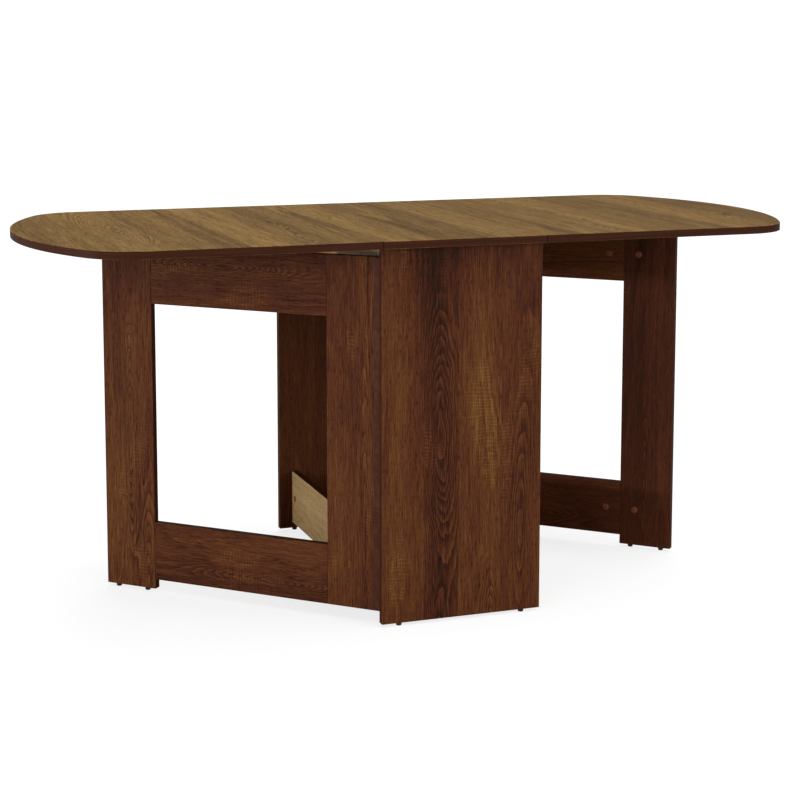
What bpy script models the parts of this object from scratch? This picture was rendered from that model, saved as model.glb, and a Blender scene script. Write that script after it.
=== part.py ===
"""Gateleg table: a narrow fixed centre, two rounded leaves and two swinging gates.

Frame: +X along the length, +Y towards the back, +Z up, origin on the floor under
the middle of the table. Sizes are in metres. The table has two-fold symmetry about
the vertical through its middle, so each side is modelled once, as the left side,
under an empty that turns it by half a turn for the right side.
"""

import math

import bmesh
import bpy
from mathutils import Matrix, Vector

MM = 0.001

# Overall sizes
LENGTH = 1600 * MM
WIDTH = 760 * MM
HEIGHT = 750 * MM
BOARD = 15 * MM
GAP = 0.3 * MM                  # clearance between neighbouring solids
ARRIS = 0.8 * MM                # eased edge of every board

# Top: the fixed strip and the outline of a leaf
FIXED_TOP_WIDTH = 333 * MM
LEAF_GAP = 1.0 * MM
END_RADIUS = 650 * MM           # the round end of the table
CORNER_RADIUS = 115 * MM        # blends the round end into the straight side
END_STEPS = 36
CORNER_STEPS = 12

# Fixed centre
GLIDE_HEIGHT = 6 * MM
PANEL_WIDTH = 330 * MM
PANEL_FACE_Y = 362.5 * MM       # outer face of the front and back panels
STRETCHER_FACE_X = 136 * MM     # outer face of the four stretchers
STRETCHER_HEIGHT = 120 * MM
STRETCHER_LOW = 20 * MM
PANEL_GLIDE_X = 128 * MM

# Gates, measured from the hinge axis with the gate closed
GATE_FACE = 2.3 * MM            # from the axis to the gate's outer face
GATE_START = 0.4 * MM           # from the axis to the hinge stile's edge
STILE_WIDTH = 115 * MM
RAIL_LENGTH = 389.4 * MM
RAIL_HEIGHT = 120 * MM
GATE_LOW = 26 * MM
UPPER_RAIL_LOW = 596.5 * MM
GATE_REST_DEG = 47              # how far the gates stand open
GATE_AXIS_INSET = 4.4 * MM      # from the panel's edge to the axis
GATE_GLIDE_INSET = 23 * MM

# Cam connectors that join rails and stiles, with a cover cap on the inner face
CAM_FROM_JOINT = 33 * MM
CAM_LOW_Z = 86 * MM
CAM_HIGH_Z = 656.5 * MM
CAM_RADIUS = 6.2 * MM
CAM_DEPTH = 10 * MM
CAP_RADIUS = 7.5 * MM
CAP_THICK = 1.2 * MM

# Glides with a nail
GLIDE_RADIUS = 6 * MM
GLIDE_FOOT_RADIUS = 5.2 * MM
NAIL_RADIUS = 1.1 * MM
NAIL_LENGTH = 12 * MM

# Hinges
BARREL_RADIUS = 2.0 * MM
PIN_RADIUS = 1.0 * MM
PIN_BORE_RADIUS = 1.2 * MM
PLATE_THICK = 1.0 * MM
PLATE_START = 2.3 * MM          # where a plate begins beside the other half's knuckle
GATE_PLATE_WIDTH = 15.4 * MM
GATE_HINGE_LOW = 30 * MM
GATE_HINGE_HIGH = 713 * MM
GATE_KNUCKLES = 7
LEAF_PLATE_WIDTH = 25 * MM
LEAF_HINGE_LENGTH = 56 * MM
LEAF_KNUCKLES = 3
LEAF_HINGES_Y = {"front": -300 * MM, "back": 315 * MM}

ROUND_STEPS = 12                # facets round a hole, a cap, a glide or a knuckle

# Positions worked out from the sizes above
TOP_UNDERSIDE = HEIGHT - BOARD
PANEL_TOP = TOP_UNDERSIDE - GAP
PANEL_INNER_Y = PANEL_FACE_Y - BOARD
GATE_AXIS = Vector((-PANEL_WIDTH / 2 + GATE_AXIS_INSET, -PANEL_INNER_Y + GAP + BARREL_RADIUS, 0))
LEAF_AXIS = Vector((-(FIXED_TOP_WIDTH + LEAF_GAP) / 2, 0, TOP_UNDERSIDE - GAP - BARREL_RADIUS))
GATE_TOP = UPPER_RAIL_LOW + RAIL_HEIGHT


def clear_scene():
    for old in list(bpy.data.objects):
        bpy.data.objects.remove(old, do_unlink=True)


def new_collection(name):
    collection = bpy.data.collections.new(name)
    bpy.context.scene.collection.children.link(collection)
    return collection


def new_material(name, colour, roughness, metallic):
    material = bpy.data.materials.new(name)
    material.use_nodes = True
    shader = material.node_tree.nodes["Principled BSDF"]
    shader.inputs["Base Color"].default_value = (*colour, 1.0)
    shader.inputs["Roughness"].default_value = roughness
    shader.inputs["Metallic"].default_value = metallic
    material.diffuse_color = (*colour, 1.0)
    return material


clear_scene()
PARTS = new_collection("gateleg_table")
CUTTERS = new_collection("cutters")
WOOD = new_material("dark_oak_board", (0.115, 0.052, 0.026), 0.45, 0.0)
TOP_WOOD = new_material("top_oak_board", (0.16, 0.085, 0.040), 0.38, 0.0)
CAP_PLASTIC = new_material("cap_plastic", (0.11, 0.035, 0.018), 0.40, 0.0)
GLIDE_PLASTIC = new_material("glide_plastic", (0.05, 0.028, 0.018), 0.50, 0.0)
BRONZE_STEEL = new_material("bronze_steel", (0.07, 0.038, 0.022), 0.42, 0.8)


def place(obj, collection, parent, location, rotation=(0, 0, 0)):
    """Put an object in its collection, at a place in its parent's frame."""
    collection.objects.link(obj)
    obj.parent = parent
    obj.location = location
    obj.rotation_euler = [math.radians(angle) for angle in rotation]
    return obj


def new_empty(name, location, turn_deg, parent=None):
    empty = bpy.data.objects.new(name, None)
    empty.empty_display_size = 0.05
    return place(empty, PARTS, parent, location, (0, 0, turn_deg))


def ease_edges(obj):
    bevel = obj.modifiers.new("arris", "BEVEL")
    bevel.width = ARRIS
    bevel.segments = 1
    bevel.limit_method = "ANGLE"
    bevel.angle_limit = math.radians(30)


def cut(obj, cutter):
    """Subtract a cutter, which keeps its own parent and stays hidden."""
    cutter.hide_render = True
    cutter.display_type = "WIRE"
    boolean = obj.modifiers.new(cutter.name, "BOOLEAN")
    boolean.operation = "DIFFERENCE"
    boolean.solver = "EXACT"
    boolean.object = cutter


def box_mesh(name, size):
    mesh = bpy.data.meshes.new(name)
    bm = bmesh.new()
    bmesh.ops.create_cube(bm, size=1.0, matrix=Matrix.Diagonal((*size, 1.0)))
    bm.to_mesh(mesh)
    bm.free()
    return mesh


def new_board(name, low, high, material, parent=None):
    """A board with eased edges between two corners in its parent's frame."""
    low = Vector(low)
    high = Vector(high)
    board = bpy.data.objects.new(name, box_mesh(name, high - low))
    board.data.materials.append(material)
    place(board, PARTS, parent, (low + high) / 2)
    ease_edges(board)
    return board


def round_hole(board, name, radius, depth, location, rotation):
    """A blind hole whose axis is the cutter's own Z; half of the cutter is outside."""
    mesh = bpy.data.meshes.new(name)
    bm = bmesh.new()
    bmesh.ops.create_cone(
        bm, cap_ends=True, segments=ROUND_STEPS, radius1=radius, radius2=radius, depth=2 * depth
    )
    bm.to_mesh(mesh)
    bm.free()
    cutter = bpy.data.objects.new(name, mesh)
    place(cutter, CUTTERS, board.parent, location, rotation)
    cut(board, cutter)


def turned(name, profile, material, parent, location, rotation=(0, 0, 0)):
    """A body of revolution about its own Z from (radius, height) points, top to bottom."""
    mesh = bpy.data.meshes.new(name)
    vertices = [(radius, 0, height) for radius, height in profile]
    edges = [(index, index + 1) for index in range(len(profile) - 1)]
    mesh.from_pydata(vertices, edges, [])
    mesh.materials.append(material)
    body = bpy.data.objects.new(name, mesh)
    place(body, PARTS, parent, location, rotation)
    screw = body.modifiers.new("turn", "SCREW")
    screw.steps = ROUND_STEPS
    screw.render_steps = ROUND_STEPS
    screw.use_merge_vertices = True
    screw.merge_threshold = 0.00005
    return body


def arc(centre, radius, start_deg, end_deg, steps):
    """Points along an arc, both ends included."""
    points = []
    for step in range(steps + 1):
        angle = math.radians(start_deg + (end_deg - start_deg) * step / steps)
        points.append((centre[0] + radius * math.cos(angle), centre[1] + radius * math.sin(angle)))
    return points


def outline_curve(name, outlines, thickness):
    """A flat shape from closed outlines, extruded evenly about its own XY plane."""
    curve = bpy.data.curves.new(name, "CURVE")
    curve.dimensions = "2D"
    curve.fill_mode = "BOTH"
    curve.extrude = thickness / 2
    for outline in outlines:
        spline = curve.splines.new("POLY")
        spline.points.add(len(outline) - 1)
        for point, (x, y) in zip(spline.points, outline):
            point.co = (x, y, 0, 1)
        spline.use_cyclic_u = True
    return bpy.data.objects.new(name, curve)


def curve_to_mesh(shape):
    """The welded mesh of a curve object, which is removed."""
    PARTS.objects.link(shape)
    depsgraph = bpy.context.evaluated_depsgraph_get()
    mesh = bpy.data.meshes.new_from_object(shape.evaluated_get(depsgraph))
    bm = bmesh.new()
    bm.from_mesh(mesh)
    bmesh.ops.remove_doubles(bm, verts=bm.verts, dist=0.000005)
    bm.to_mesh(mesh)
    bm.free()
    bpy.data.objects.remove(shape, do_unlink=True)
    return mesh


def knuckle_spans(length, count):
    """The stretches of the hinge's axis that its knuckles take, about its middle."""
    pitch = length / count
    return [(index * pitch - length / 2, (index + 1) * pitch - length / 2) for index in range(count)]


def hinge_half(name, plate_width, length, notched, parent, location, rotation):
    """One half of a hinge: a plate rolled into knuckles around its own Z axis.

    The plate runs along +X on the -Y side of the axis. notched lists the stretches
    of the axis that the other half's knuckles take.
    """
    corner_deg = math.degrees(math.asin((BARREL_RADIUS - PLATE_THICK) / BARREL_RADIUS))
    outer = arc((0, 0), BARREL_RADIUS, -corner_deg, 270, ROUND_STEPS)
    outer.append((plate_width, -BARREL_RADIUS))
    outer.append((plate_width, PLATE_THICK - BARREL_RADIUS))
    bore = arc((0, 0), PIN_BORE_RADIUS, 0, 360, ROUND_STEPS)[:-1]
    mesh = curve_to_mesh(outline_curve(name, [outer, bore], length))
    mesh.materials.clear()
    mesh.materials.append(BRONZE_STEEL)
    half = bpy.data.objects.new(name, mesh)
    place(half, PARTS, parent, location, rotation)
    reach = BARREL_RADIUS + 2 * GAP
    for number, (start, end) in enumerate(notched, 1):
        size = Vector((PLATE_START + reach, 2 * reach, end - start + GAP))
        notch = bpy.data.objects.new(f"{name}_notch_{number}", box_mesh(name, size))
        place(notch, CUTTERS, half, ((PLATE_START - reach) / 2, 0, (start + end) / 2))
        cut(half, notch)


def hinge(names, plate_width, length, knuckles, fixed, moving):
    """Both halves and the pin. fixed and moving are (parent, location, rotation)."""
    spans = knuckle_spans(length, knuckles)
    fixed_name, moving_name, pin_name = names
    hinge_half(fixed_name, plate_width, length, spans[1::2], *fixed)
    hinge_half(moving_name, plate_width, length, spans[0::2], *moving)
    half_pin = length / 2
    pin_profile = [(0, half_pin), (PIN_RADIUS, half_pin), (PIN_RADIUS, -half_pin), (0, -half_pin)]
    turned(pin_name, pin_profile, BRONZE_STEEL, *fixed)


def glide(name, board, parent, x, y):
    """A floor glide whose nail goes up into a board, and the hole for the nail."""
    nail_tip = GLIDE_HEIGHT + NAIL_LENGTH
    seat = GLIDE_HEIGHT - GAP
    profile = [
        (0, nail_tip), (NAIL_RADIUS, nail_tip), (NAIL_RADIUS, seat),
        (GLIDE_RADIUS, seat), (GLIDE_FOOT_RADIUS, 0), (0, 0),
    ]
    turned(name, profile, GLIDE_PLASTIC, parent, (x, y, 0))
    round_hole(
        board, f"{name}_hole", NAIL_RADIUS + GAP, NAIL_LENGTH + 2 * GAP, (x, y, GLIDE_HEIGHT), (0, 0, 0)
    )


def cam(name, board, parent, y, z):
    """A cam connector in a blind hole of the gate's inner face, with its cover cap."""
    face = GATE_FACE + BOARD
    cap_top = GAP + CAP_THICK
    profile = [
        (0, cap_top), (CAP_RADIUS - 0.5 * CAP_THICK, cap_top), (CAP_RADIUS, GAP),
        (CAM_RADIUS, GAP), (CAM_RADIUS, -CAM_DEPTH), (0, -CAM_DEPTH),
    ]
    along_x = (0, 90, 0)
    turned(name, profile, CAP_PLASTIC, parent, (face, y, z), along_x)
    round_hole(board, f"{name}_hole", CAM_RADIUS + GAP, CAM_DEPTH + GAP, (face, y, z), along_x)


def leaf_outline():
    """The left leaf seen from above: straight sides, two corner arcs and the round end."""
    inner_x = LEAF_AXIS.x - LEAF_GAP / 2
    half_width = WIDTH / 2
    end_centre_x = -(LENGTH / 2 - END_RADIUS)
    corner_y = half_width - CORNER_RADIUS
    reach = END_RADIUS - CORNER_RADIUS
    corner_x = end_centre_x - math.sqrt(reach ** 2 - corner_y ** 2)
    blend_deg = math.degrees(math.asin(corner_y / reach))
    points = [(inner_x, half_width), (inner_x, -half_width)]
    points += arc((corner_x, -corner_y), CORNER_RADIUS, 270, 180 + blend_deg, CORNER_STEPS)
    points += arc((end_centre_x, 0), END_RADIUS, 180 + blend_deg, 180 - blend_deg, END_STEPS)[1:-1]
    points += arc((corner_x, corner_y), CORNER_RADIUS, 180 - blend_deg, 90, CORNER_STEPS)
    return points


def new_leaf(side, axis):
    leaf = outline_curve(f"leaf_{side}", [leaf_outline()], BOARD)
    leaf.data.materials.append(TOP_WOOD)
    place(leaf, PARTS, axis, (-LEAF_AXIS.x, 0, HEIGHT - BOARD / 2 - LEAF_AXIS.z))
    weld = leaf.modifiers.new("weld", "WELD")
    weld.merge_threshold = 0.000005
    ease_edges(leaf)


def new_leaf_hinges(side, side_empty, axis):
    for place_name, y in LEAF_HINGES_Y.items():
        stem = f"leaf_hinge_{side}_{place_name}"
        names = (f"{stem}_fixed_plate", f"{stem}_leaf_plate", f"{stem}_pin")
        fixed = (side_empty, (LEAF_AXIS.x, y, LEAF_AXIS.z), (-90, 0, 0))
        moving = (axis, (0, y, 0), (-90, 0, 180))
        hinge(names, LEAF_PLATE_WIDTH, LEAF_HINGE_LENGTH, LEAF_KNUCKLES, fixed, moving)


def new_gate_hinge(side, side_empty, axis):
    middle = (GATE_HINGE_LOW + GATE_HINGE_HIGH) / 2
    length = GATE_HINGE_HIGH - GATE_HINGE_LOW
    stem = f"gate_hinge_{side}"
    names = (f"{stem}_panel_plate", f"{stem}_gate_plate", f"{stem}_pin")
    fixed = (side_empty, GATE_AXIS + Vector((0, 0, middle)), (0, 0, 0))
    moving = (axis, (0, 0, middle), (0, 0, 90))
    hinge(names, GATE_PLATE_WIDTH, length, GATE_KNUCKLES, fixed, moving)


def new_gate(side, axis):
    """Two stiles and two rails in one plane, their cams, and two glides."""
    inner = GATE_FACE + BOARD
    hinge_joint = GATE_START + STILE_WIDTH
    outer_joint = hinge_joint + RAIL_LENGTH + 2 * GAP
    stem = f"gate_{side}"
    hinge_stile = new_board(
        f"{stem}_hinge_stile",
        (GATE_FACE, GATE_START, GATE_LOW), (inner, hinge_joint, GATE_TOP), WOOD, axis,
    )
    outer_stile = new_board(
        f"{stem}_outer_stile",
        (GATE_FACE, outer_joint, GLIDE_HEIGHT), (inner, outer_joint + STILE_WIDTH, PANEL_TOP),
        WOOD, axis,
    )
    levels = {"lower": (GATE_LOW, CAM_LOW_Z), "upper": (UPPER_RAIL_LOW, CAM_HIGH_Z)}
    for level, (low, cam_z) in levels.items():
        rail = new_board(
            f"{stem}_{level}_rail",
            (GATE_FACE, hinge_joint + GAP, low), (inner, outer_joint - GAP, low + RAIL_HEIGHT),
            WOOD, axis,
        )
        cam_stem = f"{stem}_cam_{level}"
        cam(f"{cam_stem}_hinge_stile", hinge_stile, axis, hinge_joint - CAM_FROM_JOINT, cam_z)
        cam(f"{cam_stem}_rail_inner", rail, axis, hinge_joint + CAM_FROM_JOINT, cam_z)
        cam(f"{cam_stem}_rail_outer", rail, axis, outer_joint - CAM_FROM_JOINT, cam_z)
        cam(f"{cam_stem}_outer_stile", outer_stile, axis, outer_joint + CAM_FROM_JOINT, cam_z)
    middle = GATE_FACE + BOARD / 2
    outer_edge = outer_joint + STILE_WIDTH
    glide(f"{stem}_glide_inner", outer_stile, axis, middle, outer_joint + GATE_GLIDE_INSET)
    glide(f"{stem}_glide_outer", outer_stile, axis, middle, outer_edge - GATE_GLIDE_INSET)


def new_panel(end, side_empty):
    """The panel that carries the left gate, with its two glides."""
    half = PANEL_WIDTH / 2
    panel = new_board(
        f"{end}_panel",
        (-half, -PANEL_FACE_Y, GLIDE_HEIGHT), (half, -PANEL_INNER_Y, PANEL_TOP), WOOD, side_empty,
    )
    middle = -(PANEL_FACE_Y + PANEL_INNER_Y) / 2
    glide(f"{end}_panel_glide_1", panel, side_empty, -PANEL_GLIDE_X, middle)
    glide(f"{end}_panel_glide_2", panel, side_empty, PANEL_GLIDE_X, middle)


def new_stretchers(side, side_empty):
    reach = PANEL_INNER_Y - GAP
    lows = {"lower": STRETCHER_LOW, "upper": PANEL_TOP - STRETCHER_HEIGHT}
    for level, low in lows.items():
        new_board(
            f"{level}_stretcher_{side}",
            (-STRETCHER_FACE_X, -reach, low), (BOARD - STRETCHER_FACE_X, reach, low + STRETCHER_HEIGHT),
            WOOD, side_empty,
        )


def new_side(side, panel_end, turn_deg):
    side_empty = new_empty(f"{side}_side", (0, 0, 0), turn_deg)
    gate_axis = new_empty(f"{side}_gate_axis", GATE_AXIS, GATE_REST_DEG, side_empty)
    leaf_axis = new_empty(f"{side}_leaf_axis", LEAF_AXIS, 0, side_empty)
    new_panel(panel_end, side_empty)
    new_stretchers(side, side_empty)
    new_gate(side, gate_axis)
    new_gate_hinge(side, side_empty, gate_axis)
    new_leaf(side, leaf_axis)
    new_leaf_hinges(side, side_empty, leaf_axis)


def new_fixed_top():
    half = Vector((FIXED_TOP_WIDTH / 2, WIDTH / 2, 0))
    low = Vector((0, 0, TOP_UNDERSIDE)) - half
    high = Vector((0, 0, HEIGHT)) + half
    new_board("fixed_top", low, high, TOP_WOOD)


new_fixed_top()
new_side("left", "front", 0)
new_side("right", "back", 180)
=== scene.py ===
"""Looks of the gateleg table: camera, light, oak-look decor, edge bands and small fittings."""
import math

import bmesh
import bpy
from mathutils import Matrix, Vector


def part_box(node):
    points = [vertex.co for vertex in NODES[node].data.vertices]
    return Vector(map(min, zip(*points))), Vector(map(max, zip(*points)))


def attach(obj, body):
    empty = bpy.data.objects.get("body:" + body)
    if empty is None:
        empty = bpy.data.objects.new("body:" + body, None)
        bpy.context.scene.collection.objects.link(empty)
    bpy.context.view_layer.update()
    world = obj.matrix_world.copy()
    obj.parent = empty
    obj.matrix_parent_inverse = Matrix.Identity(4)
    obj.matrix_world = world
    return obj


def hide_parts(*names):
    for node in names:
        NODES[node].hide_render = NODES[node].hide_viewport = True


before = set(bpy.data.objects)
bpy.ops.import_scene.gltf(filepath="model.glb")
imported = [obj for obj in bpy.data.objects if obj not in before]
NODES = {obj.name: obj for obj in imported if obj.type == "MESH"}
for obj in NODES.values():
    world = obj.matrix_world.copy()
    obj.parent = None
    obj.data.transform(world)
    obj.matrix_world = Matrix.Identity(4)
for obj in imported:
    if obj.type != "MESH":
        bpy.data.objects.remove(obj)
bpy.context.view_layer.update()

MM = 0.001

# Directions of the open gates: along the left gate away from its hinge, and out of its outer face.
# The right gate is the left one after half a turn, so its directions are the opposite ones.
GATE_FROM_PANEL = math.radians(43)
GATE_ALONG = Vector((-math.cos(GATE_FROM_PANEL), math.sin(GATE_FROM_PANEL), 0))
GATE_OUT = Vector((-math.sin(GATE_FROM_PANEL), -math.cos(GATE_FROM_PANEL), 0))
X_AXIS = Vector((1, 0, 0))
Y_AXIS = Vector((0, 1, 0))
Z_AXIS = Vector((0, 0, 1))
SIDES = {"left": 1, "right": -1}    # what a direction of the left side is multiplied by

# Linear colours of the decor, dark to light, as stops of a ramp. The stretchers' and the top's tables
# carry painted sheen on top of the decor.
BASE_TONES = (
    (0.00, (0.0171, 0.0056, 0.0027)),
    (0.20, (0.0323, 0.0103, 0.0046)),
    (0.40, (0.0646, 0.0175, 0.0076)),
    (0.56, (0.0921, 0.0293, 0.0100)),
    (0.76, (0.1263, 0.0504, 0.0140)),
    (1.00, (0.1805, 0.0882, 0.0232)),
)
# Stretchers: the decor made lighter and tan as a painted sheen of the light glancing off their faces
STRETCHER_SHEEN_TONES = (
    (0.00, (0.1464, 0.0833, 0.0330)),
    (0.35, (0.2440, 0.1523, 0.0638)),
    (0.65, (0.3416, 0.2261, 0.1012)),
    (1.00, (0.4270, 0.2975, 0.1430)),
)
# The top: its decor with a painted sheen of the light from above, lighter and more olive than the boards
TOP_TONES_WITH_SHEEN = (
    (0.00, (0.0567, 0.0273, 0.0050)),
    (0.25, (0.0987, 0.0505, 0.0104)),
    (0.50, (0.1533, 0.0834, 0.0196)),
    (0.75, (0.2099, 0.1216, 0.0316)),
    (1.00, (0.2780, 0.1689, 0.0481)),
)
BAND_TONE_RANGE = (0.12, 0.37)      # the part of BASE_TONES that the edge bands use
WOOD_SPECULAR = 0.04

# Linear colours of the fittings, (dark, light)
CAP_COLOURS = ((0.130, 0.032, 0.014), (0.180, 0.050, 0.022))
GLIDE_COLOURS = ((0.030, 0.016, 0.010), (0.055, 0.030, 0.018))
STEEL_COLOURS = ((0.050, 0.0150, 0.0070), (0.085, 0.0290, 0.0120))

# The decor
RINGS = 23.0                        # year rings to one step of the field whose contours they are
SAW_PITCH = 6.8 * MM
SEED_SPREAD = 40.0                  # keeps the grain of two seeds apart
FACE_LIMIT = 0.6                    # a normal that points through the board more than this is a face's

# The edges
SMOOTH_LIMIT = math.radians(40)
BEVEL_LIMIT = math.radians(25)
BEVEL_SEGMENTS = 2


# ---------------------------------------------------------------- node helpers
class Tree:
    """Short names for the shader nodes used here. A value may be a number, a vector or a socket."""

    def __init__(self, tree):
        self.tree = tree

    def node(self, kind, **settings):
        made = self.tree.nodes.new(kind)
        for key, value in settings.items():
            setattr(made, key, value)
        return made

    def feed(self, socket, value):
        if isinstance(value, bpy.types.NodeSocket):
            self.tree.links.new(value, socket)
        else:
            socket.default_value = value

    def math(self, operation, a, b=0.0, c=0.0, clamp=False):
        made = self.node("ShaderNodeMath", operation=operation, use_clamp=clamp)
        for socket, value in zip(made.inputs, (a, b, c)):
            self.feed(socket, value)
        return made.outputs[0]

    def vector(self, operation, a, b):
        made = self.node("ShaderNodeVectorMath", operation=operation)
        self.feed(made.inputs[0], a)
        self.feed(made.inputs[1], b)
        return made.outputs["Value" if operation == "DOT_PRODUCT" else "Vector"]

    def dot(self, vector, axis):
        return self.vector("DOT_PRODUCT", vector, axis)

    def scaled(self, vector, x, y, z):
        return self.vector("MULTIPLY", vector, (x, y, z))

    def combine(self, x, y, z):
        made = self.node("ShaderNodeCombineXYZ")
        for socket, value in zip(made.inputs, (x, y, z)):
            self.feed(socket, value)
        return made.outputs[0]

    def separate(self, value):
        made = self.node("ShaderNodeSeparateXYZ")
        self.feed(made.inputs[0], value)
        return made.outputs

    def noise(self, vector, detail, roughness=0.5, distortion=0.0):
        made = self.node("ShaderNodeTexNoise")
        self.feed(made.inputs["Vector"], vector)
        made.inputs["Scale"].default_value = 1.0
        made.inputs["Detail"].default_value = detail
        made.inputs["Roughness"].default_value = roughness
        made.inputs["Distortion"].default_value = distortion
        return made.outputs[0]

    def streaks(self, u, v, seed, across, along, detail, roughness=0.5, distortion=0.0):
        """Noise stretched along the grain: across and along are features per metre."""
        place = self.combine(self.math("MULTIPLY", u, across), self.math("MULTIPLY", v, along), seed)
        return self.noise(place, detail, roughness, distortion)

    def remap(self, value, low, high, to_low=0.0, to_high=1.0, smooth=False):
        made = self.node("ShaderNodeMapRange")
        made.interpolation_type = "SMOOTHSTEP" if smooth else "LINEAR"
        for socket, item in zip(made.inputs, (value, low, high, to_low, to_high)):
            self.feed(socket, item)
        return made.outputs[0]

    def add_part(self, base, value, middle, share):
        """base + (value - middle) * share"""
        return self.math("MULTIPLY_ADD", self.math("SUBTRACT", value, middle), share, base)

    def mix(self, factor, a, b):
        made = self.node("ShaderNodeMix", data_type="RGBA")
        self.feed(made.inputs["Factor"], factor)
        self.feed(made.inputs[6], a)
        self.feed(made.inputs[7], b)
        return made.outputs[2]

    def ramp(self, value, stops, interpolation="LINEAR"):
        made = self.node("ShaderNodeValToRGB")
        made.color_ramp.interpolation = interpolation
        elements = made.color_ramp.elements
        while len(elements) < len(stops):
            elements.new(0.5)
        for element, (position, colour) in zip(elements, stops):
            element.position = position
            element.color = (*colour, 1.0)
        self.feed(made.inputs[0], value)
        return made.outputs[0]

    def bump(self, height, strength, distance):
        made = self.node("ShaderNodeBump")
        made.inputs["Strength"].default_value = strength
        made.inputs["Distance"].default_value = distance
        self.feed(made.inputs["Height"], height)
        return made.outputs[0]


def decor_group():
    """Oak-look decor. Place is across and along in metres and a seed, and Strip is the plank's tone.

    Figure and Saw bring out cathedrals and saw marks. The outputs are the tone and the height.
    """
    group = bpy.data.node_groups.new("oak_decor", "ShaderNodeTree")
    face = group.interface
    face.new_socket("Place", in_out="INPUT", socket_type="NodeSocketVector")
    face.new_socket("Figure", in_out="INPUT", socket_type="NodeSocketFloat")
    face.new_socket("Strip", in_out="INPUT", socket_type="NodeSocketFloat")
    face.new_socket("Saw", in_out="INPUT", socket_type="NodeSocketFloat")
    face.new_socket("Tone", in_out="OUTPUT", socket_type="NodeSocketFloat")
    face.new_socket("Height", in_out="OUTPUT", socket_type="NodeSocketFloat")
    t = Tree(group)
    inputs = t.node("NodeGroupInput").outputs
    u, v, seed = t.separate(inputs["Place"])
    figure = inputs["Figure"]

    # figure: contours of a slow field are the year rings; each turns dark slowly and ends abruptly
    wobble = t.streaks(u, v, seed, 46.0, 13.0, 2.0, 0.6)
    slow = t.streaks(u, v, seed, 6.0, 0.8, 1.0, 0.4, 0.3)
    field = t.math("ADD", slow, figure)
    waviness = t.remap(figure, 0.02, 0.30, 0.022, 0.110)
    field = t.math("MULTIPLY_ADD", t.math("SUBTRACT", wobble, 0.5), waviness, field)
    rings = t.math("FRACT", t.math("MULTIPLY", field, RINGS))
    rings = t.math("MULTIPLY", rings, t.remap(rings, 0.88, 1.0, 1.0, 0.0))
    calm = t.streaks(u, v, t.math("ADD", seed, 4.7), 11.0, 1.9, 1.0)
    ring_share = t.remap(t.math("MULTIPLY_ADD", figure, 1.4, calm), 0.47, 0.80, 0.05, 0.44, smooth=True)
    ring_tone = t.math("MULTIPLY", t.math("SUBTRACT", 0.42, rings), ring_share)

    # streaks from hand-wide to hair-fine, and short dark pores
    wide = t.streaks(u, v, seed, 20.0, 1.1, 1.0, 0.5, 0.2)
    mid = t.streaks(u, v, seed, 120.0, 3.5, 2.0, 0.6, 0.3)
    fine = t.streaks(u, v, seed, 620.0, 20.0, 1.5, 0.7, 0.2)
    pore = t.streaks(u, v, seed, 900.0, 70.0, 1.0, 0.5)
    pores = t.remap(pore, 0.56, 0.68, smooth=True)

    # saw marks: fine light lines across the grain, in patches
    patch = t.streaks(u, v, t.math("ADD", seed, 8.1), 19.0, 4.5, 1.0)
    patch = t.remap(t.math("ADD", patch, inputs["Saw"]), 0.60, 0.76, smooth=True)
    drift = t.streaks(u, v, seed, 20.0, 24.0, 1.0)
    phase = t.math("MULTIPLY_ADD", drift, 14.0, t.math("MULTIPLY", v, 2 * math.pi / SAW_PITCH))
    lines = t.remap(t.math("SINE", phase), 0.45, 1.0, smooth=True)
    broken = t.remap(t.streaks(u, v, t.math("ADD", seed, 2.2), 34.0, 120.0, 1.0), 0.34, 0.52, smooth=True)
    weave = t.remap(fine, 0.40, 0.60, 0.50, 1.0)
    marks = t.math("MULTIPLY", t.math("MULTIPLY", patch, lines), t.math("MULTIPLY", weave, broken))

    tone = t.add_part(inputs["Strip"], wide, 0.5, 0.38)
    tone = t.math("ADD", tone, ring_tone)
    tone = t.add_part(tone, mid, 0.5, 0.34)
    tone = t.add_part(tone, fine, 0.5, 0.85)
    tone = t.add_part(tone, patch, 0.3, 0.06)
    tone = t.math("MULTIPLY_ADD", marks, 0.25, tone)
    tone = t.math("MULTIPLY_ADD", pores, -0.30, tone, clamp=True)
    height = t.math("MULTIPLY_ADD", pores, -0.8, t.math("MULTIPLY", fine, 0.6))
    height = t.math("MULTIPLY_ADD", marks, 0.35, height)
    result = t.node("NodeGroupOutput")
    t.feed(result.inputs["Tone"], tone)
    t.feed(result.inputs["Height"], height)
    return group


DECOR = decor_group()


def new_material(name):
    material = bpy.data.materials.new(name)
    material.use_nodes = True
    tree = Tree(material.node_tree)
    return material, tree, material.node_tree.nodes["Principled BSDF"]


def extent(node, axis):
    """How far a CAD node reaches along an axis of the frame, in metres."""
    places = [vertex.co.dot(axis) for vertex in NODES[node].data.vertices]
    return min(places), max(places)


def bells(t, u, v, places):
    """Sum of smooth bumps. places are (across, along, half width, half length, height)."""
    total = 0.0
    for centre_u, centre_v, half_u, half_v, lift in places:
        du = t.math("MULTIPLY", t.math("SUBTRACT", u, centre_u), 1 / half_u)
        dv = t.math("MULTIPLY", t.math("SUBTRACT", v, centre_v), 1 / half_v)
        square = t.math("MULTIPLY_ADD", du, du, t.math("MULTIPLY", dv, dv))
        bell = t.math("EXPONENT", t.math("MULTIPLY", square, -1.0))
        total = t.math("MULTIPLY_ADD", bell, lift, total)
    return total


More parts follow.
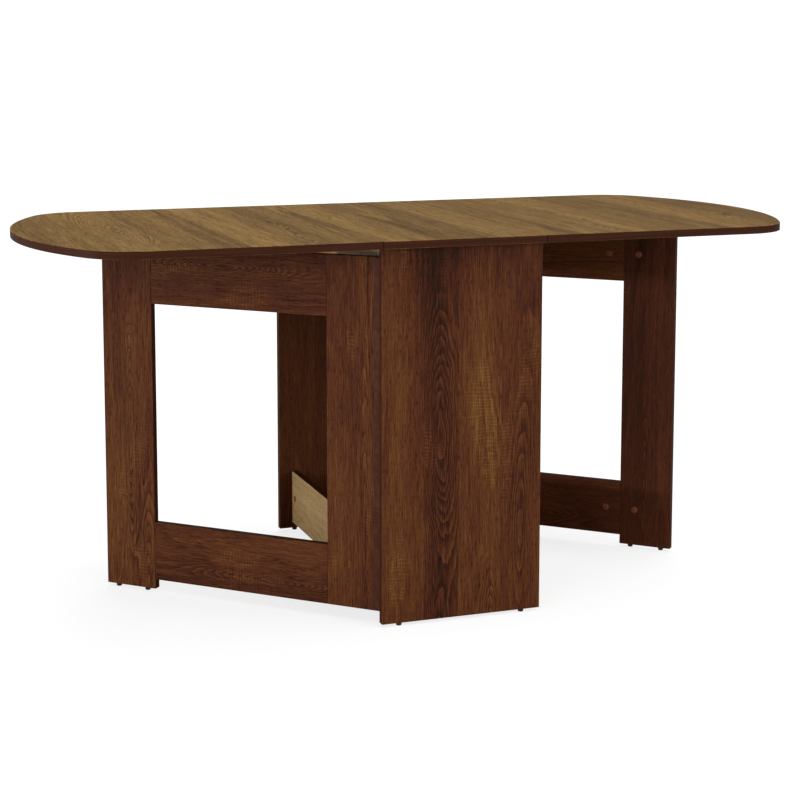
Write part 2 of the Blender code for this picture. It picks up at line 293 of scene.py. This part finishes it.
def edge_wear(t, node, place, distances):
    """Rubbed, lighter patches close to a board's edges. distances are (distance, its axis) pairs."""
    nearest = 1.0
    for value, axis in distances:
        low, high = extent(node, axis)
        inside = t.math("MINIMUM", t.math("SUBTRACT", value, low), t.math("SUBTRACT", high, value))
        nearest = t.math("MINIMUM", inside, nearest)
    rub = t.remap(t.noise(t.scaled(place, 60, 60, 60), 3.0, 0.7), 0.45, 0.75)
    return t.math("MULTIPLY", t.remap(nearest, 0.4 * MM, 2.6 * MM, 0.16, 0.0, smooth=True), rub)


def edge_band(t, u, v, w):
    """Colour of the band. Its print runs round the board, so it is fine only through the thickness."""
    place = t.combine(t.math("MULTIPLY", u, 5.0), t.math("MULTIPLY", v, 5.0), t.math("MULTIPLY", w, 420.0))
    grain = t.noise(place, 3.0, 0.6, 0.2)
    return t.ramp(t.remap(grain, 0.2, 0.8, *BAND_TONE_RANGE), BASE_TONES)


def wood(node, across, along, tones, strips, places=None, contrast=1.0, stretch=1.0, worn_edges=True):
    """Decor on the faces of a board, a plain edge band round it, and lighter, worn edges.

    across and along are directions of the decor in the part's frame. strips are the
    planks printed side by side: (start as a share of the width, tone, seed). places
    puts bumps of the figure (cathedrals), of tone (light or dark; some are painted shade)
    and of saw marks. contrast spreads the tones about their middle, and is turned down
    as painted shade on boards that lie in shade; stretch above 1 makes the streaks longer.
    """
    places = places or {}
    material, t, shader = new_material(f"decor_{node}")
    depth_axis = across.cross(along)
    coordinates = t.node("ShaderNodeTexCoord").outputs
    place = coordinates["Object"]
    u = t.dot(place, across)
    v = t.dot(place, along)
    w = t.dot(place, depth_axis)
    share = t.remap(u, *extent(node, across))
    stops = [(start, (tone, seed, 0.0)) for start, tone, seed in strips]
    strip_tone, strip_seed, _ = t.separate(t.ramp(share, stops, "CONSTANT"))
    decor = t.node("ShaderNodeGroup")
    decor.node_tree = DECOR
    long_v = t.math("MULTIPLY", v, 1 / stretch)
    t.feed(decor.inputs["Place"], t.combine(u, long_v, t.math("MULTIPLY", strip_seed, SEED_SPREAD)))
    t.feed(decor.inputs["Figure"], bells(t, u, v, places.get("figure", ())))
    t.feed(decor.inputs["Saw"], bells(t, u, v, places.get("saw", ())))
    t.feed(decor.inputs["Strip"], t.math("ADD", strip_tone, bells(t, u, v, places.get("tone", ()))))
    tone = t.add_part(0.5, decor.outputs["Tone"], 0.5, contrast)
    if worn_edges:
        tone = t.math("ADD", tone, edge_wear(t, node, place, ((u, across), (v, along))))
    face_colour = t.ramp(tone, tones)
    band_colour = edge_band(t, u, v, w)
    facing = t.math("ABSOLUTE", t.dot(coordinates["Normal"], depth_axis))
    on_face = t.math("GREATER_THAN", facing, FACE_LIMIT)
    t.feed(shader.inputs["Base Color"], t.mix(on_face, band_colour, face_colour))
    roughness = t.remap(decor.outputs["Height"], -0.6, 0.6, 0.60, 0.46)
    t.feed(shader.inputs["Roughness"], roughness)
    shader.inputs["Specular IOR Level"].default_value = WOOD_SPECULAR
    height = t.math("MULTIPLY", decor.outputs["Height"], on_face)
    t.feed(shader.inputs["Normal"], t.bump(height, 0.30, 0.0002))
    return material


def moulded(name, colours, grain, roughness):
    """Moulded plastic: a faint mottle, grain features to the metre, a fine bump and duller patches."""
    dark, light = colours
    material, t, shader = new_material(name)
    place = t.node("ShaderNodeTexCoord").outputs["Object"]
    mottle = t.noise(t.scaled(place, grain, grain, grain), 3.0, 0.6, 0.3)
    skin = t.noise(t.scaled(place, 12 * grain, 12 * grain, 12 * grain), 2.0, 0.6)
    t.feed(shader.inputs["Base Color"], t.ramp(t.remap(mottle, 0.3, 0.7), ((0.0, dark), (1.0, light))))
    t.feed(shader.inputs["Roughness"], t.remap(mottle, 0.3, 0.7, roughness - 0.06, roughness + 0.08))
    shader.inputs["Specular IOR Level"].default_value = 0.20
    t.feed(shader.inputs["Normal"], t.bump(skin, 0.25, 0.0001))
    return material


def bronzed_steel():
    """Brown plated steel with fine drawn lines and rubbed, brighter spots."""
    dark, light = STEEL_COLOURS
    material, t, shader = new_material("bronzed_steel")
    place = t.node("ShaderNodeTexCoord").outputs["Object"]
    drawn = t.noise(t.scaled(place, 900, 900, 60), 2.0, 0.6)
    rubbed = t.remap(t.noise(t.scaled(place, 45, 45, 45), 3.0, 0.65), 0.45, 0.75)
    t.feed(shader.inputs["Base Color"], t.ramp(rubbed, ((0.0, dark), (1.0, light))))
    shader.inputs["Metallic"].default_value = 0.2
    shader.inputs["Specular IOR Level"].default_value = 0.1
    t.feed(shader.inputs["Roughness"], t.remap(drawn, 0.3, 0.7, 0.40, 0.58))
    t.feed(shader.inputs["Normal"], t.bump(drawn, 0.20, 0.0001))
    return material


def dress(node, material):
    NODES[node].data.materials.clear()
    NODES[node].data.materials.append(material)


def smooth_group():
    """Smooth shading across edges flatter than SMOOTH_LIMIT."""
    group = bpy.data.node_groups.new("smooth_by_angle", "GeometryNodeTree")
    group.interface.new_socket("Geometry", in_out="INPUT", socket_type="NodeSocketGeometry")
    group.interface.new_socket("Geometry", in_out="OUTPUT", socket_type="NodeSocketGeometry")
    t = Tree(group)
    flat_enough = t.node("FunctionNodeCompare", data_type="FLOAT", operation="LESS_EQUAL")
    t.feed(flat_enough.inputs["A"], t.node("GeometryNodeInputMeshEdgeAngle").outputs["Unsigned Angle"])
    t.feed(flat_enough.inputs["B"], SMOOTH_LIMIT)
    faces = t.node("GeometryNodeSetShadeSmooth", domain="FACE")
    edges = t.node("GeometryNodeSetShadeSmooth", domain="EDGE")
    t.feed(faces.inputs["Geometry"], t.node("NodeGroupInput").outputs[0])
    t.feed(edges.inputs["Geometry"], faces.outputs[0])
    t.feed(edges.inputs["Shade Smooth"], flat_enough.outputs[0])
    t.feed(t.node("NodeGroupOutput").inputs[0], edges.outputs[0])
    return group


SMOOTH = smooth_group()


def soften(obj, width):
    """Round the sharp edges, unless width is zero, and shade curved faces smoothly."""
    if width:
        bevel = obj.modifiers.new("soft_edge", "BEVEL")
        bevel.width = width
        bevel.segments = BEVEL_SEGMENTS
        bevel.limit_method = "ANGLE"
        bevel.angle_limit = BEVEL_LIMIT
    obj.modifiers.new("smooth", "NODES").node_group = SMOOTH


# ---------------------------------------------------------------- boards
# Planks are (start as a share of the width, tone, seed). The bumps of the figure, the tone and the
# saw marks are (across, along, half width, half length, height), in metres but for the height.
# Some tone bumps are painted shade, marked where they stand.
PANEL_STRIPS = (
    (0.000, 0.54, 0.10), (0.255, 0.44, 0.22), (0.476, 0.56, 0.37), (0.745, 0.50, 0.05),
)
PANEL_PLACES = {
    "figure": (
        (-0.046, 0.36, 0.036, 0.22, 0.60), (-0.052, -0.10, 0.024, 0.18, 0.35),
        (0.062, -0.04, 0.020, 0.15, 0.40), (0.125, 0.20, 0.020, 0.20, 0.25),
    ),
    "tone": (
        (-0.064, 0.66, 0.020, 0.12, -0.16), (0.040, 0.42, 0.050, 0.15, 0.05),
        # the wide dark bump at (0.0, 0.76) is painted shade under the table top
        (-0.055, 0.04, 0.030, 0.08, -0.14), (0.0, 0.76, 0.40, 0.10, -0.17),
        (-0.13, 0.45, 0.025, 0.20, 0.03), (0.0, 0.12, 0.30, 0.14, 0.05),
    ),
    "saw": (
        (0.040, 0.42, 0.040, 0.12, 0.40), (-0.135, 0.11, 0.030, 0.08, 0.40),
        (0.130, 0.47, 0.030, 0.08, 0.25),
    ),
}
STILE_STRIPS = {
    "hinge_stile": ((0.00, 0.54, 0.41), (0.62, 0.51, 0.63)),
    "outer_stile": ((0.00, 0.51, 0.81), (0.43, 0.56, 0.57)),
}
LEFT_STILE_PLACES = {
    "hinge_stile": {
        "figure": ((-0.085, 0.20, 0.016, 0.30, 0.30),),
        # the dark bump at the top, (-0.06, 0.76), is painted shade under the leaf
        "tone": ((-0.05, 0.22, 0.04, 0.14, 0.08), (-0.06, 0.76, 0.2, 0.07, -0.10)),
        "saw": ((-0.030, 0.10, 0.030, 0.06, 0.30), (-0.040, 0.57, 0.030, 0.06, 0.25)),
    },
    "outer_stile": {
        "figure": ((0.442, 0.34, 0.018, 0.22, 0.50), (0.405, 0.02, 0.016, 0.15, 0.30)),
        "tone": (
            # the dark bump at the top, (0.44, 0.76), is painted shade under the leaf
            (0.478, 0.22, 0.030, 0.17, 0.16), (0.44, 0.76, 0.2, 0.14, -0.20),
            (0.400, 0.16, 0.02, 0.1, 0.08),
        ),
        "saw": ((0.456, 0.24, 0.020, 0.07, 0.30),),
    },
}
RIGHT_STILE_PLACES = {
    "figure": ((-0.062, 0.10, 0.018, 0.25, 0.40), (0.440, 0.05, 0.018, 0.25, 0.40)),
    # the dark tone bump over the whole outer stile is painted shade
    "tone": ((0.44, 0.38, 0.15, 0.40, -0.34),),
}
# The right gate and the back panel are printed quieter than the left gate and the front panel: painted
# shade, as the same decor looks flatter in shade. The right gate's rail tones differ from the left
# gate's by these steps of painted light and shade: the upper rail is lifted out of the shade under the
# top, the lower one darkened a little.
QUIET_AS_SHADE = 0.65
RIGHT_RAIL_PAINTED_LIGHT = {"lower_rail": -0.02, "upper_rail": 0.17}
RAIL_STRIPS = {
    "lower_rail": ((0.00, 0.44, 0.33), (0.45, 0.50, 0.71)),
    "upper_rail": ((0.00, 0.44, 0.15), (0.52, 0.42, 0.47)),
}
RAIL_PLACES = {
    "lower_rail": {
        "figure": ((0.058, 0.12, 0.018, 0.14, 0.45),),
        "saw": ((0.080, 0.20, 0.03, 0.05, 0.25),),
    },
    "upper_rail": {
        "figure": ((0.680, 0.22, 0.022, 0.13, 0.50),),
        # the dark bump along the rail's top edge is painted shade under the leaf
        "tone": ((0.72, 0.20, 0.03, 0.3, -0.06),),
        "saw": ((0.640, 0.17, 0.030, 0.05, 0.30),),
    },
}
TOP_STRIPS = {
    "leaf_left": (
        (0.00, 0.47, 0.12), (0.17, 0.56, 0.27), (0.38, 0.46, 0.44), (0.60, 0.55, 0.61), (0.80, 0.45, 0.77),
    ),
    "fixed_top": ((0.00, 0.54, 0.21), (0.32, 0.45, 0.34), (0.70, 0.56, 0.91)),
    "leaf_right": (
        (0.00, 0.48, 0.55), (0.22, 0.56, 0.68), (0.43, 0.43, 0.86), (0.64, 0.52, 0.09), (0.83, 0.45, 0.19),
    ),
}
CATHEDRALS = (
    (-0.275, -0.42), (0.331, -0.42), (0.667, -0.40),
    (-0.271, 0.05), (0.36, 0.05), (0.70, 0.10), (-0.60, 0.0),
)
NO_SAW_MARKS = ((0.0, 0.0, 9.0, 9.0, -0.5),)    # one hollow, wider than any board
TOP_PLACES = {
    "figure": tuple((x, y, 0.040, 0.24, 0.55) for x, y in CATHEDRALS),
    "tone": tuple((x, y, 0.050, 0.20, -0.06) for x, y in CATHEDRALS),
    "saw": NO_SAW_MARKS,
}
TOP_PRINT = {"contrast": 1.6, "stretch": 2.2, "worn_edges": False}
STRETCHER_STRIPS = ((0.00, 0.50, 0.30), (0.55, 0.58, 0.60))
BOARD_ENDINGS = ("_panel", "_stile", "_rail", "_stretcher_left", "_stretcher_right")
BOARD_EDGE = 0.3 * MM


def reseeded(strips, step, lift=0.0):
    """The same planks with other stretches of grain, and lighter by lift, a step of painted light or
    shade.
    """
    return tuple((start, tone + lift, (seed + step) % 1.0) for start, tone, seed in strips)


def dress_boards():
    """Decor on every board. Each second board of a pair shows other stretches of grain."""
    for number, node in enumerate(("front_panel", "back_panel")):
        strips = reseeded(PANEL_STRIPS, 0.31 * number)
        # the back panel's quieter print is painted shade
        contrast = 1.0 if node == "front_panel" else QUIET_AS_SHADE
        dress(node, wood(node, X_AXIS, Z_AXIS, BASE_TONES, strips, PANEL_PLACES, contrast))
    for number, side in enumerate(SIDES):
        along = GATE_ALONG * SIDES[side]
        # the right gate's quieter print is painted shade
        contrast = 1.0 if side == "left" else QUIET_AS_SHADE
        for level in ("lower", "upper"):
            node = f"{level}_stretcher_{side}"
            strips = reseeded(STRETCHER_STRIPS, 0.23 * number)
            # the stretchers' lighter tones are painted sheen
            dress(node, wood(node, Z_AXIS, Y_AXIS, STRETCHER_SHEEN_TONES, strips))
        for stile, strips in STILE_STRIPS.items():
            node = f"gate_{side}_{stile}"
            strips = reseeded(strips, 0.37 * number)
            places = LEFT_STILE_PLACES[stile] if side == "left" else RIGHT_STILE_PLACES
            dress(node, wood(node, along, Z_AXIS, BASE_TONES, strips, places, contrast))
        for rail, strips in RAIL_STRIPS.items():
            node = f"gate_{side}_{rail}"
            # the right gate's rails are lightened or darkened as painted light and shade
            strips = reseeded(strips, 0.37 * number, RIGHT_RAIL_PAINTED_LIGHT[rail] * number)
            dress(node, wood(node, Z_AXIS, along, BASE_TONES, strips, RAIL_PLACES[rail], contrast))
    for node, strips in TOP_STRIPS.items():
        # the top's tones carry painted sheen
        dress(node, wood(node, X_AXIS, Y_AXIS, TOP_TONES_WITH_SHEEN, strips, TOP_PLACES, **TOP_PRINT))
    for node, obj in NODES.items():
        if node in TOP_STRIPS or node.endswith(BOARD_ENDINGS):
            soften(obj, BOARD_EDGE)


# ---------------------------------------------------------------- shapes of the small fittings
# Profiles are (radius, height) points in millimetres. Height 0 is the face of the board that a cap
# lies on, or the floor under a glide.
CAM_PROFILE = (
    (0, 1.38), (0.7, 1.39), (1.0, 1.47), (4.2, 1.47), (6.0, 1.38), (6.9, 1.16), (7.35, 0.82), (7.5, 0.48),
    (7.4, 0.32), (6.3, 0.32), (6.2, 0.2), (6.2, -9.6), (5.8, -10.0), (0, -10.0),
)
STRETCHER_CAP_PROFILE = (
    (0, 1.1), (0.7, 1.11), (1.0, 1.18), (4.2, 1.18), (6.0, 1.10), (6.9, 0.90), (7.35, 0.60), (7.5, 0.30),
    (7.4, 0.02), (0, 0.02),
)
GLIDE_PROFILE = (
    (0, 18.0), (0.5, 17.2), (1.1, 16.0), (1.1, 5.7), (5.7, 5.7), (6.0, 5.45), (6.0, 4.95), (5.75, 4.6),
    (5.35, 1.0), (5.0, 0.35), (4.3, 0.0), (0, 0.0),
)
CAP_STEPS = 40
GLIDE_STEPS = 32

# A screw head: (radius, how far the four arms of the recess reach past it, height) in millimetres
# from the hinge plate's face, from the floor of the recess outwards
SCREW_PROFILE = (
    (0.40, 0.50, -0.30), (0.60, 0.80, 0.27),
    (2.0, 0.0, 0.30), (2.7, 0.0, 0.16), (2.9, 0.0, -0.05), (2.9, 0.0, -0.60),
)
SCREW_STEPS = 32
ARM_SHARPNESS = 8


def finished_mesh(bm, name):
    """The mesh of what was built in bm, which is freed."""
    mesh = bpy.data.meshes.new(name)
    bm.to_mesh(mesh)
    bm.free()
    return mesh


def round_angles(steps):
    return [2 * math.pi * step / steps for step in range(steps)]


def lathe(name, profile, steps):
    """A closed solid turned about its own Z axis. The profile starts and ends on the axis."""
    bm = bmesh.new()
    rings = []
    for radius, height in profile:
        angles = round_angles(steps) if radius else [0.0]
        points = [(radius * MM * math.cos(a), radius * MM * math.sin(a), height * MM) for a in angles]
        rings.append([bm.verts.new(point) for point in points])
    for above, below in zip(rings, rings[1:]):
        for step in range(steps):
            after = (step + 1) % steps
            corners = (
                above[step % len(above)], below[step % len(below)],
                below[after % len(below)], above[after % len(above)],
            )
            bm.faces.new(list(dict.fromkeys(corners)))
    bmesh.ops.recalc_face_normals(bm, faces=bm.faces)
    return finished_mesh(bm, name)


def screw_heads(name, places):
    """Countersunk heads with a cross recess, facing +Z, at (x, y) places in millimetres."""
    bm = bmesh.new()
    angles = round_angles(SCREW_STEPS)
    for x, y in places:
        rings = []
        for radius, arm, height in SCREW_PROFILE:
            reach = [radius + arm * abs(math.cos(2 * a)) ** ARM_SHARPNESS for a in angles]
            points = [(x + r * math.cos(a), y + r * math.sin(a), height) for r, a in zip(reach, angles)]
            rings.append([bm.verts.new(Vector(point) * MM) for point in points])
        for inner, outer in zip(rings, rings[1:]):
            for corners in zip(inner, outer, outer[1:] + outer[:1], inner[1:] + inner[:1]):
                bm.faces.new(corners)
        bm.faces.new(rings[0])
        bm.faces.new(rings[-1])
    bmesh.ops.recalc_face_normals(bm, faces=bm.faces)
    return finished_mesh(bm, name)


# ---------------------------------------------------------------- places of the small fittings
CAP_PROUD = 1.5 * MM                # how far a CAD cam with its cap stands out of the board
STRETCHER_CAP_INSET = 24 * MM       # from a stretcher's end to the middle of its cap
FACE_BEHIND_PIN = 1.0 * MM          # how far a hinge plate's free face lies behind the pin's axis

# Screws of a hinge plate: (from the pin, along the pin) in millimetres
LEAF_SCREWS = ((11.0, -19.0), (18.0, 0.0), (11.0, 19.0))
GATE_SCREWS = tuple((9.2, 80.0 * step) for step in range(-4, 5))


def add_piece(name, mesh, material, body, location, turn):
    """Put a mesh in the frame, turned by a 3 x 3 matrix, to ride on a body."""
    piece = bpy.data.objects.new(name, mesh)
    if not mesh.materials:
        mesh.materials.append(material)
    piece.matrix_world = Matrix.Translation(location) @ turn.to_4x4()
    bpy.context.scene.collection.objects.link(piece)
    soften(piece, 0)
    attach(piece, body)
    return piece


def turned_to(outward):
    """The turn that takes +Z to outward, for round pieces."""
    return Z_AXIS.rotation_difference(outward).to_matrix()


def add_cam(node, mesh, plastic):
    """A smooth cam with its cap for a CAD one. It faces inwards from its gate."""
    side = "left" if "left" in node else "right"
    inward = -GATE_OUT * SIDES[side]
    along = GATE_ALONG * SIDES[side]
    face = extent(node, inward)[1] - CAP_PROUD
    middle_along = sum(extent(node, along)) / 2
    middle_z = sum(extent(node, Z_AXIS)) / 2
    location = inward * face + along * middle_along + Z_AXIS * middle_z
    body = f"gate_{side}"
    piece = add_piece(f"{node}_smooth", mesh, plastic, body, location, turned_to(inward))
    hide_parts(node)


def add_glide(node, mesh, plastic):
    """A smooth glide with its nail for a CAD one."""
    low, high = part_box(node)
    location = Vector(((low[0] + high[0]) / 2, (low[1] + high[1]) / 2, low[2]))
    body = "base" if "panel" in node else "gate_left" if "left" in node else "gate_right"
    piece = add_piece(f"{node}_smooth", mesh, plastic, body, location, turned_to(Z_AXIS))
    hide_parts(node)


def add_screws(plate, body, screws, across, outward, steel):
    """Heads on the free face of a hinge plate. across points from the pin over the plate."""
    low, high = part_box(plate.rsplit("_", 2)[0] + "_pin")
    origin = (Vector(low) + Vector(high)) / 2 - outward * FACE_BEHIND_PIN
    turn = Matrix((across, outward.cross(across), outward)).transposed()
    name = f"{plate}_screws"
    add_piece(name, screw_heads(name, screws), steel, body, origin, turn)


def add_hinge_screws(side, sign, steel):
    """The screws of a side's gate hinge and of its two leaf hinges."""
    hinge = f"gate_hinge_{side}"
    gate = f"gate_{side}"
    add_screws(f"{hinge}_panel_plate", "base", GATE_SCREWS, X_AXIS * sign, Y_AXIS * sign, steel)
    add_screws(f"{hinge}_gate_plate", gate, GATE_SCREWS, GATE_ALONG * sign, GATE_OUT * sign, steel)
    for end in ("front", "back"):
        hinge = f"leaf_hinge_{side}_{end}"
        add_screws(f"{hinge}_fixed_plate", "base", LEAF_SCREWS, X_AXIS * sign, -Z_AXIS, steel)
        add_screws(f"{hinge}_leaf_plate", f"leaf_{side}", LEAF_SCREWS, -X_AXIS * sign, -Z_AXIS, steel)


def add_stretcher_caps(node, side, sign, mesh, plastic):
    """The cover caps of a stretcher's two fittings, on its outer face."""
    low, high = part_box(node)
    face_x = low[0] if side == "left" else high[0]
    for end, y in (("front", low[1] + STRETCHER_CAP_INSET), ("back", high[1] - STRETCHER_CAP_INSET)):
        location = (face_x, y, (low[2] + high[2]) / 2)
        turn = turned_to(-X_AXIS * sign)
        add_piece(f"{node}_cap_{end}", mesh, plastic, "base", location, turn)


def add_fittings():
    """Smooth cams and glides for the CAD ones, steel hinges, their screws and the stretcher caps."""
    cap_plastic = moulded("cap_plastic", CAP_COLOURS, 260, 0.46)
    glide_plastic = moulded("glide_plastic", GLIDE_COLOURS, 300, 0.50)
    steel = bronzed_steel()
    cam_mesh = lathe("cam_and_cap", CAM_PROFILE, CAP_STEPS)
    cap_mesh = lathe("stretcher_cap", STRETCHER_CAP_PROFILE, CAP_STEPS)
    glide_mesh = lathe("glide", GLIDE_PROFILE, GLIDE_STEPS)
    for node in NODES:
        if "_cam_" in node:
            add_cam(node, cam_mesh, cap_plastic)
        elif "_glide_" in node:
            add_glide(node, glide_mesh, glide_plastic)
        elif "_hinge_" in node and ("plate" in node or "pin" in node):
            dress(node, steel)
            soften(NODES[node], 0)
    for side, sign in SIDES.items():
        add_hinge_screws(side, sign, steel)
        for level in ("lower", "upper"):
            add_stretcher_caps(f"{level}_stretcher_{side}", side, sign, cap_mesh, cap_plastic)


# ---------------------------------------------------------------- camera and light
# The camera is fitted to the photo. It stands left of the middle and looks a little down and to the
# right.
CAMERA_PLACE = (-1.2507, -3.4705, 1.1290)
CAMERA_YAW_DEG = 18.808
CAMERA_PITCH_DEG = -7.065
CAMERA_ROLL_DEG = -0.085
CAMERA_SHIFT = (0.04, -0.18)
SENSOR_MM = 36
FOCAL_TO_SENSOR = 2.21425           # focal length in widths of the sensor

# The lights: (name, azimuth, elevation, strength, spread), angles in degrees. Azimuth 0 shines from
# the front and 90 from the right.
SUNS = (
    ("key_left", -50, 14, 1.05, 30),
    ("side_left", -100, 1, 1.8, 4),
    ("fill_right", 44, 14, 1.25, 40),
    ("front_low", 12, 4, 0.30, 12),
    ("overhead", 20, 80, 1.95, 60),
    ("back", 150, 60, 1.3, 45),
)

# Studio and floor. Both look white to the camera, and light the table less than they look.
WORLD_LIGHT = 0.28
WORLD_LOOKS_BRIGHTER_BY = 0.85
FLOOR_ALBEDO = 0.42
SEEN_FLOOR_ALBEDO = 0.25
SEEN_FLOOR_GLOW = 0.78
FLOOR_HALF_SIZE = 30
FLOOR_DROP = 0.5 * MM               # below the glides, so that no faces coincide


def add_camera():
    yaw = math.radians(CAMERA_YAW_DEG)
    pitch = math.radians(CAMERA_PITCH_DEG)
    roll = math.radians(CAMERA_ROLL_DEG)
    level = Vector((math.sin(yaw), math.cos(yaw), 0))
    right = Vector((math.cos(yaw), -math.sin(yaw), 0))
    forward = math.cos(pitch) * level + math.sin(pitch) * Z_AXIS
    up = math.cos(pitch) * Z_AXIS - math.sin(pitch) * level
    turned_right = math.cos(roll) * right + math.sin(roll) * up
    turned_up = math.cos(roll) * up - math.sin(roll) * right
    data = bpy.data.cameras.new("camera")
    data.sensor_width = SENSOR_MM
    data.lens = FOCAL_TO_SENSOR * SENSOR_MM
    data.shift_x, data.shift_y = CAMERA_SHIFT
    camera = bpy.data.objects.new("camera", data)
    rotation = Matrix((turned_right, turned_up, -forward)).transposed()
    camera.matrix_world = Matrix.Translation(CAMERA_PLACE) @ rotation.to_4x4()
    bpy.context.scene.collection.objects.link(camera)
    bpy.context.scene.camera = camera


def add_soft_sun(name, azimuth_deg, elevation_deg, strength, spread_deg):
    """A broad, even light."""
    data = bpy.data.lights.new(name, "SUN")
    data.energy = strength
    data.angle = math.radians(spread_deg)
    azimuth = math.radians(azimuth_deg)
    elevation = math.radians(elevation_deg)
    level = math.cos(elevation)
    towards = Vector((math.sin(azimuth) * level, -math.cos(azimuth) * level, math.sin(elevation)))
    lamp = bpy.data.objects.new(name, data)
    lamp.rotation_euler = (-towards).to_track_quat("-Z", "Y").to_euler()
    bpy.context.scene.collection.objects.link(lamp)


def add_world():
    world = bpy.data.worlds.new("studio")
    bpy.context.scene.world = world
    world.use_nodes = True
    t = Tree(world.node_tree)
    background = world.node_tree.nodes["Background"]
    path = t.node("ShaderNodeLightPath")
    background.inputs["Color"].default_value = (1, 1, 1, 1)
    strength = t.math("MULTIPLY_ADD", path.outputs["Is Camera Ray"], WORLD_LOOKS_BRIGHTER_BY, WORLD_LIGHT)
    t.feed(background.inputs["Strength"], strength)


def add_floor():
    bm = bmesh.new()
    bmesh.ops.create_grid(bm, x_segments=1, y_segments=1, size=FLOOR_HALF_SIZE)
    floor = bpy.data.objects.new("floor", finished_mesh(bm, "floor"))
    floor.location.z = -FLOOR_DROP
    material = bpy.data.materials.new("pale_floor")
    material.use_nodes = True
    material.node_tree.nodes.clear()
    t = Tree(material.node_tree)
    seen = t.node("ShaderNodeLightPath").outputs["Is Camera Ray"]
    shade = t.remap(seen, 0.0, 1.0, FLOOR_ALBEDO, SEEN_FLOOR_ALBEDO)
    diffuse = t.node("ShaderNodeBsdfDiffuse")
    t.feed(diffuse.inputs["Color"], t.combine(shade, shade, shade))
    glow = t.node("ShaderNodeEmission")
    t.feed(glow.inputs["Strength"], t.math("MULTIPLY", seen, SEEN_FLOOR_GLOW))
    both = t.node("ShaderNodeAddShader")
    t.feed(both.inputs[0], diffuse.outputs[0])
    t.feed(both.inputs[1], glow.outputs[0])
    t.feed(t.node("ShaderNodeOutputMaterial").inputs["Surface"], both.outputs[0])
    floor.data.materials.append(material)
    bpy.context.scene.collection.objects.link(floor)


# Colours come out as the materials have them, and white as white
bpy.context.scene.view_settings.view_transform = "Standard"
add_camera()
add_world()
add_floor()
for sun in SUNS:
    add_soft_sun(*sun)
dress_boards()
add_fittings()
